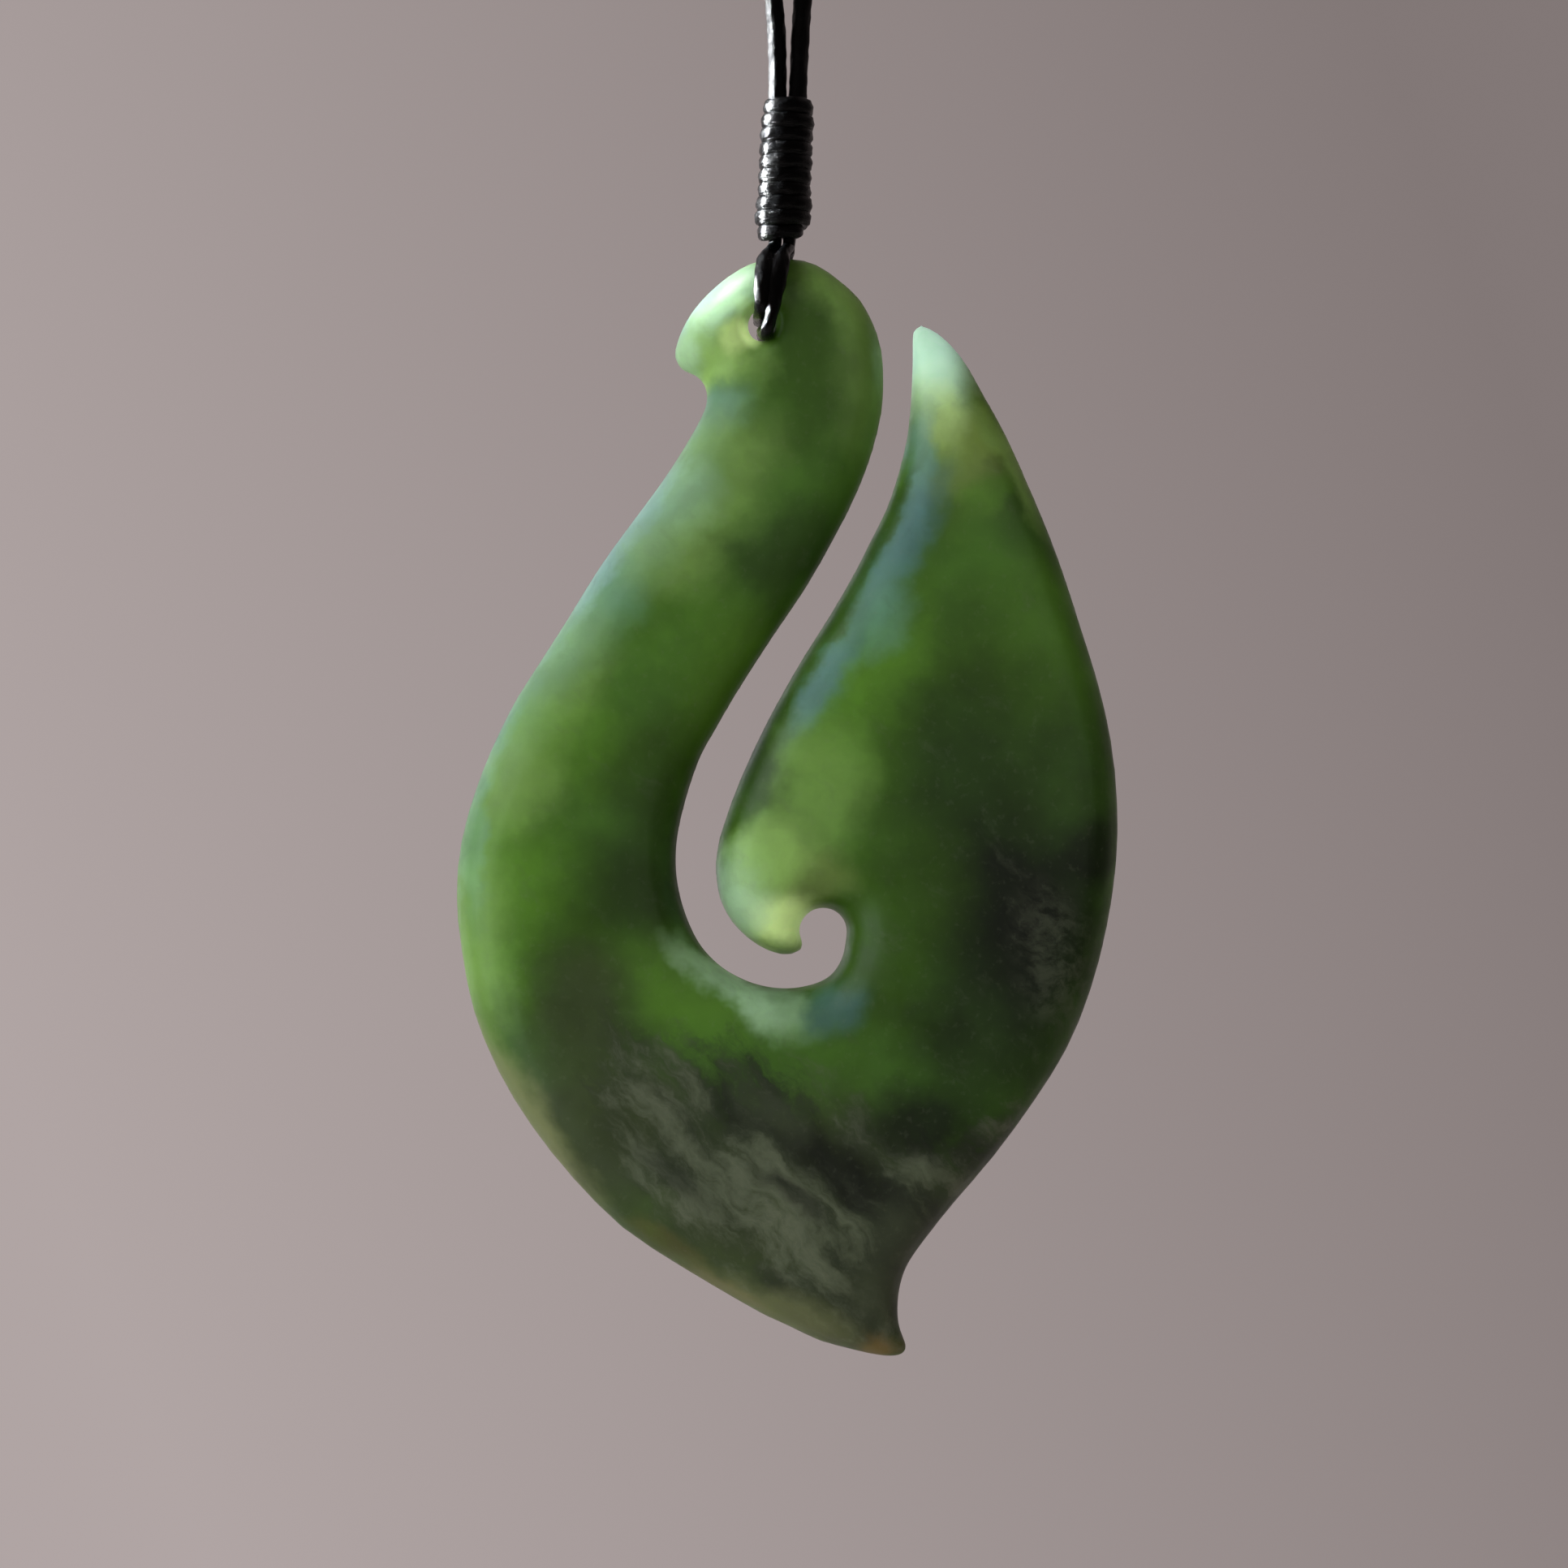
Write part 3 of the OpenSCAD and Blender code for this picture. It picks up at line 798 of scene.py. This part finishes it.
@dataclass
class NeckCord(Maker):
    """The waxed neck cord: one long loop whose two ends are held in the lashing."""

    finish = WaxFinish("waxed_cord", warm=0.3, shine=0.3, fibre=0.08 * MM)
    slot, body, nodes = Slot.CORD, Body.CORD, ("neck_cord",)
    diameter: float = 1.0
    pitch: float = 0.24
    sides: int = 18
    braid_turn: float = 2.3
    braid_depth: float = 0.035
    braid_mean: float = 1.3
    lump: float = 0.03
    lump_lengths: tuple[float, ...] = (1.1, 2.7, 5.3, 0.7)
    curve_steps: int = 24
    # The strands' distance from the lashing's middle, and the loop's height over its top.
    strand_x: float = 0.53
    top: float = 278.0
    # Columns: x, height over the lashing's top, in millimetres.
    half_route: Rows = (
        (0.6, 2), (0.78, 5), (1.1, 8), (1.75, 12), (2.95, 18), (4.9, 26), (7.6, 36),
        (12.2, 52), (18.4, 74), (25.3, 98), (32.5, 123), (39.9, 149), (47.6, 176),
        (55.7, 204), (57.7, 226), (51.2, 247.2), (38, 263.8), (19.8, 274.5),
    )
    # Heights of the points inside the lashing.
    held_route: Pair = (-4.7, -2.31)

    def route(self) -> np.ndarray:
        """The whole loop's route.

        Returns:
            Points in millimetres, from the left end round to the right end.
        """
        lean = math.tan(LASH_LEAN)
        left = [(h * lean - self.strand_x, 0, h) for h in self.held_route]
        left += [(-x, 0, z) for x, z in self.half_route]
        right = [(x, 0, z) for x, z in reversed(self.half_route)]
        right += [(h * lean + self.strand_x, 0, h) for h in reversed(self.held_route)]
        return np.array([*left, (0, 0, self.top), *right], float) + (0, 0, LASH_TOP)

    def build(self) -> bpy.types.Object:
        """Make the cord with its braid and its waxed lumps.

        Returns:
            The piece.
        """
        line, run = even_line(smooth_line(self.route(), self.curve_steps), self.pitch)
        angle = around(self.sides)
        turn = (run / self.braid_turn * 2 * math.pi)[:, None]
        # Three strands each way round, crossing each other.
        braid = np.abs(np.cos(1.5 * angle + turn / 2)) + np.abs(np.cos(1.5 * angle - turn / 2))
        radius = self.diameter / 2 - self.braid_depth * (self.braid_mean - braid)
        radius = radius + self.lump * waves(run, self.lump_lengths, 3)[:, None]
        return sweep("waxed_neck_cord", line, run, np.array([0, 1.0, 0]), radius, radius)


@dataclass
class Lashing(Maker):
    """Flattened waxed thread wound round the strands, with a fat last turn but two."""

    finish = WaxFinish("waxed_lashing", warm=0.15, shine=0.15, fibre=0.07 * MM)
    slot, body, nodes = Slot.THREAD, Body.CORD, ("lashing",)
    turns: float = 11.0
    length: float = 8.25
    # Half sizes of the flattened thread, and the share of its thickness inside the outline.
    band_thick: float = 0.3
    band_wide: float = 0.4644
    band_inset: float = 0.9
    tilt: float = 0.2
    start_angle: float = 0.6
    swell: float = 0.025
    sway: float = 0.04
    ply_depth: float = 0.022
    ply_twist: float = 1.1
    wobble: float = 0.03
    # The thread's ends thin out over this length, to this share.
    taper: Pair = (1.2, 0.25)
    rings_per_turn: int = 72
    sides: int = 20
    core_rings: int = 40
    core_sides: int = 32
    core_inset: float = 0.36
    core_end: float = 0.35
    # Outer radius at even steps from the top to the foot, in millimetres.
    outline: tuple[float, ...] = (
        1.24, 1.38, 1.45, 1.42, 1.44, 1.42, 1.45, 1.43, 1.46, 1.57, 1.46, 1.2,
    )

    def helix(self) -> tuple[np.ndarray, np.ndarray]:
        """The thread's line round the strands.

        Returns:
            The line in millimetres, and the outward direction at each point.
        """
        turn = np.linspace(0, self.turns - 1, int((self.turns - 1) * self.rings_per_turn) + 1)
        radius = self.outer(turn / (self.turns - 1))
        radius = radius + self.swell * waves(turn, (1.37, 0.61, 2.9), 5)
        angle = 2 * math.pi * turn + self.start_angle
        down = self.length / self.turns * (turn + 0.5) + self.sway * waves(turn, (1.9, 0.83), 8)
        out = np.stack([np.cos(angle), np.sin(angle), np.zeros_like(angle)], 1)
        line = out * (radius - self.band_thick * self.band_inset)[:, None]
        line[:, 2] = self.tilt * out[:, 0] - down
        return self.lean(line), self.lean(out)

    def outer(self, share: np.ndarray) -> np.ndarray:
        """The outer radius at shares of the way from the top to the foot."""
        return np.interp(share, np.linspace(0, 1, len(self.outline)), self.outline)

    def lean(self, points: np.ndarray) -> np.ndarray:
        """Points leaned with the lashing.

        Args:
            points: Points or directions from the lashing's top.

        Returns:
            The leaned points.
        """
        c, s = math.cos(LASH_LEAN), math.sin(LASH_LEAN)
        return points @ np.array([[c, 0, s], [0, 1, 0], [-s, 0, c]]).T

    def build(self) -> bpy.types.Object:
        """Make the winding over a plain core that closes the gaps between its turns.

        Returns:
            The piece.
        """
        line, out = self.helix()
        run = run_of(line)
        length, least = self.taper
        ends = np.clip(np.minimum(run, run[-1] - run) / length, least, 1)[:, None]
        relief = plies(around(self.sides), run, self.ply_depth, self.ply_twist)
        relief = relief + self.wobble * waves(run, (0.9, 1.7, 3.1), 11)[:, None]
        thick = (self.band_thick + relief) * ends
        wide = (self.band_wide + relief) * ends
        winding = sweep("lashing_turns", line + (0, 0, LASH_TOP), run, out, thick, wide)
        height = np.linspace(-self.core_end, self.core_end - self.length, self.core_rings)
        core_line = self.lean(np.stack([0 * height, 0 * height, height], 1)) + (0, 0, LASH_TOP)
        core = self.outer(np.linspace(0, 1, self.core_rings)) - self.core_inset
        radius = np.repeat(core[:, None], self.core_sides, 1)
        inner = sweep("lashing_core", core_line, height, np.array([1.0, 0, 0]), radius, radius)
        return join([winding, inner], "lashing_thread")


@dataclass
class HangingLoop(Maker):
    """Two turns of waxed thread through the hole and over the head of the hook."""

    finish = WaxFinish("waxed_loop", warm=0.15, shine=0.15, fibre=0.035 * MM)
    slot, body, nodes = Slot.THREAD, Body.CORD, ("hanging_loop",)
    pitch: float = 0.07
    sides: int = 20
    curve_steps: int = 16
    half_round: float = 0.34
    half_wide: float = 0.52
    half_thick: float = 0.32
    # Where the pressed part starts, and over what distance it is reached.
    press_depth: Pair = (1.6, 0.5)
    press_height: Pair = (0.2, 1.8)
    ply_depth: float = 0.016
    ply_twist: float = 1.0
    wobble: float = 0.012
    # Columns: x, y, z from the hole's centre, in millimetres.
    route: Rows = (
        (0.78, 0.42, 5.6), (0.73, 0.47, 4.38), (0.64, 0.92, 4.08), (0.48, 1.92, 3.5),
        (0.3, 2.65, 2.4), (0.1, 2.8, 1.5), (-0.05, 2.75, 0.85), (-0.1, 2.25, 0.5),
        (-0.1, 1.2, 0.48), (-0.1, 0, 0.5), (-0.08, -1.2, 0.48), (0, -2.25, 0.5),
        (0.04, -2.75, 0.85), (0.08, -2.8, 1.5), (0.16, -2.65, 2.4), (0.28, -1.92, 3.5),
        (0.6, -0.92, 4.08), (0.76, -0.47, 4.38), (0.8, -0.42, 5.7), (1.05, -0.2, 6.5),
        (1.4, 0.2, 6.5), (1.6, 0.42, 5.7), (1.5, 0.47, 4.38), (1.46, 0.92, 4.08),
        (1.3, 1.92, 3.5), (1.05, 2.65, 2.4), (0.85, 2.85, 1.4), (0.6, 2.9, 0.4),
        (0.35, 2.75, -0.4), (0.2, 2.2, -0.65), (0.1, 1.2, -0.42), (0.1, 0, -0.38),
        (0.1, -1.2, -0.42), (0.2, -2.2, -0.68), (0.35, -2.75, -0.4), (0.58, -2.9, 0.4),
        (0.74, -2.85, 1.4), (0.9, -2.65, 2.4), (1.12, -1.92, 3.5), (1.38, -0.92, 4.08),
        (1.5, -0.47, 4.38), (1.58, -0.42, 5.6),
    )

    def build(self) -> bpy.types.Object:
        """Make the thread, flattened where it lies on the stone and round in the hole.

        Returns:
            The piece.
        """
        route = np.array(self.route, float)
        line, run = even_line(smooth_line(route, self.curve_steps), self.pitch)
        # The thread is pressed flat only where it lies on the stone's front and back.
        (front, over), (low, rise) = self.press_depth, self.press_height
        flat = np.clip((np.abs(line[:, 1]) - front) / over, 0, 1)
        flat *= np.clip((line[:, 2] - low) / rise, 0, 1)
        relief = plies(around(self.sides), run, self.ply_depth, self.ply_twist)
        relief = relief + self.wobble * waves(run, (1.3, 2.3, 0.8), 21)[:, None]
        wide = (self.half_round + (self.half_wide - self.half_round) * flat)[:, None] + relief
        thick = (self.half_round + (self.half_thick - self.half_round) * flat)[:, None] + relief
        return sweep("hanging_thread", line + HOLE, run, np.array([1.0, 0, 0]), wide, thick)


@dataclass
class CarvedHook(Maker):
    """The carved stone, its faces eased and polished from the frame's own solid."""

    finish = JadeFinish()
    slot, body, nodes = Slot.JADE, Body.PENDANT, ("hook",)
    voxel: float = 0.22 * MM
    weld: float = 0.002 * MM
    face_ease: int = 200
    edge_ease: int = 8
    # Round the hole, in millimetres: nothing is eased inside the first, all outside the second.
    crisp_zone: Pair = (1.25, 2.9)
    crisp_steps: int = 12
    # Height and lengths of the polishing waves, in metres.
    hand_wave: float = 0.03 * MM
    slow_lengths: Triple = (0.011, 0.0065, 0.0083)
    cross_lengths: Triple = (0.0097, 0.0071, 0.0128)
    # Shares by which the hole's sides and foot come in, and its half depth and wall, in mm.
    waist_share: float = 0.26
    waist_foot: float = 0.05
    waist_reach: float = 2.3
    waist_wall: float = 1.4

    def build(self) -> bpy.types.Object:
        """Copy the solid, close it into one fine skin and ease its facets.

        Returns:
            The piece.
        """
        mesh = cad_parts["hook"].data.copy()
        piece = bpy.data.objects.new("carved_stone", mesh)
        bpy.context.scene.collection.objects.link(piece)
        self.apply(piece, "WELD", merge_threshold=self.weld)
        size = self.voxel * 1
        self.apply(piece, "REMESH", mode="VOXEL", voxel_size=size, adaptivity=0.0)
        self.spare_hole(piece)
        # Only the height over the middle plane is eased a lot, so the outline keeps its points.
        self.apply(
            piece, "SMOOTH", factor=0.5, iterations=self.face_ease,
            use_x=False, use_y=True, use_z=False, vertex_group="eased",
        )
        piece.vertex_groups.clear()
        self.apply(piece, "SMOOTH", factor=0.5, iterations=self.edge_ease)
        self.wave(piece)
        self.waist(piece)
        piece.data.shade_smooth()
        return piece

    def spare_hole(self, piece: bpy.types.Object) -> None:
        """Mark how much each point may be eased, so that the rim of the hole stays crisp.

        Args:
            piece: The stone.
        """
        away = read_points(piece.data) / MM - HOLE
        inner, outer = self.crisp_zone
        share = np.clip((np.hypot(away[:, 0], away[:, 2]) - inner) / (outer - inner), 0, 1)
        level = np.round(share * self.crisp_steps).astype(int)
        group = piece.vertex_groups.new(name="eased")
        for step in range(1, self.crisp_steps + 1):
            members = np.flatnonzero(level == step).tolist()
            group.add(members, step / self.crisp_steps, "REPLACE")

    def apply(self, piece: bpy.types.Object, kind: str, **settings: object) -> None:
        """Add a modifier and take its result as the mesh.

        Args:
            piece: The piece.
            kind: Blender's name of the modifier.
            settings: Its settings.
        """
        step = piece.modifiers.new(kind.lower(), kind)
        for key, value in settings.items():
            setattr(step, key, value)
        seen = piece.evaluated_get(bpy.context.evaluated_depsgraph_get())
        made = bpy.data.meshes.new_from_object(seen)
        piece.modifiers.clear()
        piece.data = made

    def waist(self, piece: bpy.types.Object) -> None:
        """Draw the hole's side walls in at mid depth, as a hole drilled from both faces has.

        Args:
            piece: The stone.
        """
        co = read_points(piece.data)
        away = co / MM - HOLE
        depth = np.clip(1 - (np.abs(away[:, 1]) / self.waist_reach) ** 2, 0, 1)
        near = np.hypot(away[:, 0], away[:, 2]) < self.waist_wall
        co[:, 0] -= away[:, 0] * MM * self.waist_share * depth * near
        co[:, 2] -= np.minimum(away[:, 2], 0) * MM * self.waist_foot * depth * near
        write_points(piece.data, co)

    def wave(self, piece: bpy.types.Object) -> None:
        """Give the faces the slow waves of hand polishing.

        Args:
            piece: The stone.
        """
        co, normal = read_points(piece.data), read_points(piece.data, "normal")
        slow = waves(co[:, 0] + 0.6 * co[:, 2], self.slow_lengths, 2)
        cross = waves(co[:, 2] - 0.5 * co[:, 0], self.cross_lengths, 9)
        facing = np.abs(normal[:, 1]) ** 2
        co[:, 1] += np.sign(co[:, 1]) * self.hand_wave * (slow + cross) * facing
        write_points(piece.data, co)


def join(parts: Sequence[bpy.types.Object], name: str) -> bpy.types.Object:
    """Join meshes into one piece.

    Args:
        parts: The meshes.
        name: The piece's name.

    Returns:
        The piece.
    """
    with bpy.context.temp_override(
        active_object=parts[0], selected_editable_objects=list(parts), object=parts[0]
    ):
        bpy.ops.object.join()
    parts[0].name = name
    parts[0].data.name = name
    return parts[0]


@dataclass
class Studio:
    """The camera at the photograph's angle, soft light from the left, and a pale floor."""

    lens: float = 100.0
    sensor: float = 36.0
    view_width: float = 85.6 * MM
    clip: Pair = (0.01, 20.0)
    aim: Triple = (-0.24 * MM, 0.0, -315.22 * MM)
    twine: tuple[str, ...] = ("waxed_neck_cord", "lashing_thread", "hanging_thread")
    beam_colour: Triple = (0.94, 0.97, 1.0)
    beam_blend: float = 0.7
    # The wall's two colours and the direction from one to the other.
    wall_pale: Shade = (0.435, 0.375, 0.37, 1.0)
    wall_dark: Shade = (0.222, 0.187, 0.183, 1.0)
    wall_slope: Triple = (1.0, 0.0, 0.4)
    # Columns: from least, from most, to least, to most.
    wall_ramp: Shade = (-0.2, 0.2, 0.0, 1.0)
    depth_ramp: Shade = (-0.3, 0.9, 0.26, 1.0)
    floor_z: float = -0.5

    def camera(self) -> None:
        """Make the camera, straight before the pendant with a long lens."""
        data = bpy.data.cameras.new("camera")
        data.lens, data.sensor_width = self.lens, self.sensor
        data.clip_start, data.clip_end = self.clip
        away = self.view_width * self.lens / self.sensor
        camera = bpy.data.objects.new("camera", data)
        camera.location = (self.aim[0], -away, self.aim[2])
        camera.rotation_euler = (math.pi / 2, 0, 0)
        bpy.context.scene.collection.objects.link(camera)
        bpy.context.scene.camera = camera

    def hang(
        self, name: str, data: bpy.types.Light, place: Triple, aim: Triple
    ) -> bpy.types.Object:
        """Hang a light and turn it to where it aims.

        Args:
            name: The light's name.
            data: The light.
            place: Where it is, counted from its aim, in metres.
            aim: Where it looks, in metres.

        Returns:
            The hung light.
        """
        lamp = bpy.data.objects.new(name, data)
        lamp.location = Vector(aim) + Vector(place)
        lamp.rotation_euler = (-Vector(place)).to_track_quat("-Z", "Y").to_euler()
        lamp.visible_camera = False
        bpy.context.scene.collection.objects.link(lamp)
        return lamp

    def screen(self, lamp: bpy.types.Object, names: Sequence[str]) -> None:
        """Screen pieces from a light, as a maker's small card would.

        Args:
            lamp: The light.
            names: The pieces that it doesn't reach.
        """
        group = bpy.data.collections.new("screened_from_" + lamp.name)
        for name in names:
            group.objects.link(bpy.data.objects[name])
        lamp.light_linking.receiver_collection = group
        for member in group.collection_objects:
            member.light_linking.link_state = "EXCLUDE"

    def panel(self, name: str, place: Triple, size: Pair, power: float, colour: Triple) -> None:
        """Make a soft light that looks at the pendant and is screened from the twine.

        Args:
            name: The light's name.
            place: Where it is, counted from the camera's aim, in metres.
            size: Its width and height in metres.
            power: Its power in watts.
            colour: Its colour.
        """
        data = bpy.data.lights.new(name, "AREA")
        data.shape, data.size, data.size_y = "RECTANGLE", *size
        data.energy, data.color = power, colour
        self.screen(self.hang(name, data, place, self.aim), self.twine)

    def beam(
        self, name: str, aim: Triple, place: Triple, power: float, spread: float, soft: float
    ) -> bpy.types.Object:
        """Make a narrow hard beam.

        Args:
            name: The light's name.
            aim: Where it strikes, in metres.
            place: Where it stands, counted from there.
            power: Its power in watts.
            spread: Its whole angle in degrees.
            soft: Radius of its source in metres.

        Returns:
            The light.
        """
        data = bpy.data.lights.new(name, "SPOT")
        data.energy, data.color = power, self.beam_colour
        data.spot_size, data.spot_blend = math.radians(spread), self.beam_blend
        data.shadow_soft_size = soft
        return self.hang(name, data, place, aim)

    def lights(self) -> None:
        """Make the window, the sun, a glow from behind, two beams and the light of the room."""
        self.panel("window", (-0.45, -0.3, 0.14), (0.6, 0.8), 2.6, (0.86, 0.94, 1.0))
        self.panel("sun", (-0.5, 0.06, 0.36), (0.2, 0.2), 0.2, (1.0, 0.96, 0.88))
        self.panel("rear_glow", (-0.42, 0.3, 0.2), (0.6, 0.7), 0.9, (0.8, 0.92, 1.0))
        # The glint lights the twine alone, and the blaze the rim of the head.
        glint = self.beam("glint", (0, 0, -0.2825), (-0.45, 0.08, 0.12), 210.0, 3.3, 0.012)
        self.screen(glint, ["carved_stone"])
        self.beam("blaze", (-0.0044, 0, -0.2866), (-0.2, 0.03, 0.33), 7.0, 0.6, 0.0008)
        self.panel("room", (0.3, -0.6, 0.25), (0.7, 0.7), 0.75, (1.0, 0.96, 0.9))

    def surroundings(self) -> None:
        """Make the wall all round, paler at the left and below, dimmer on the viewer's side."""
        world = bpy.data.worlds.new("pale_room")
        sheet = NodeSheet(world)
        where = sheet.add("TexCoord").outputs["Generated"]
        across = sheet.add("VectorMath", {0: where, 1: self.wall_slope}, operation="DOT_PRODUCT")
        wall = sheet.spread(across.outputs["Value"], *self.wall_ramp, kind="LINEAR")
        axes = sheet.add("SeparateXYZ", {0: where})
        depth = sheet.spread(axes.outputs["Y"], *self.depth_ramp, kind="LINEAR")
        shade = sheet.mix(wall, self.wall_pale, self.wall_dark)
        back = sheet.add("Background", {"Color": shade, "Strength": depth})
        sheet.add("OutputWorld", {"Surface": back.outputs[0]})
        bpy.context.scene.world = world
        bpy.context.scene.view_settings.view_transform = "Standard"

    def floor(self) -> None:
        """Make the floor, a wide round board well under the pendant."""
        reach, rim, drop, corners = 0.5, 0.004, 0.01, 120
        levels = ((reach, 0.0), (reach + rim, -drop / 2), (reach, -drop))
        turns = [2 * math.pi * i / corners for i in range(corners)]
        points = [
            (far * math.cos(turn), far * math.sin(turn), self.floor_z + z)
            for far, z in levels for turn in turns
        ]
        faces = [tuple(range(corners)), tuple(range(3 * corners - 1, 2 * corners - 1, -1))]
        for low in (0, corners):
            for i in range(corners):
                after = (i + 1) % corners
                faces.append((low + i, low + corners + i, low + corners + after, low + after))
        mesh = bpy.data.meshes.new("floor")
        mesh.from_pydata(points, [], faces)
        board = bpy.data.objects.new("floor", mesh)
        mesh.materials.append(StageFinish().material())
        bpy.context.scene.collection.objects.link(board)


def main() -> None:
    """Build the studio and the pieces in order."""
    logging.basicConfig(level=logging.INFO, format="%(name)s: %(message)s")
    studio = Studio()
    studio.camera()
    for maker in (NeckCord(), Lashing(), HangingLoop(), CarvedHook()):
        piece = maker.build()
        maker.dress(piece)
        log.info("built %s", piece.name)
    studio.lights()
    studio.surroundings()
    studio.floor()
    bpy.context.view_layer.update()


if __name__ == "__main__":
    main()
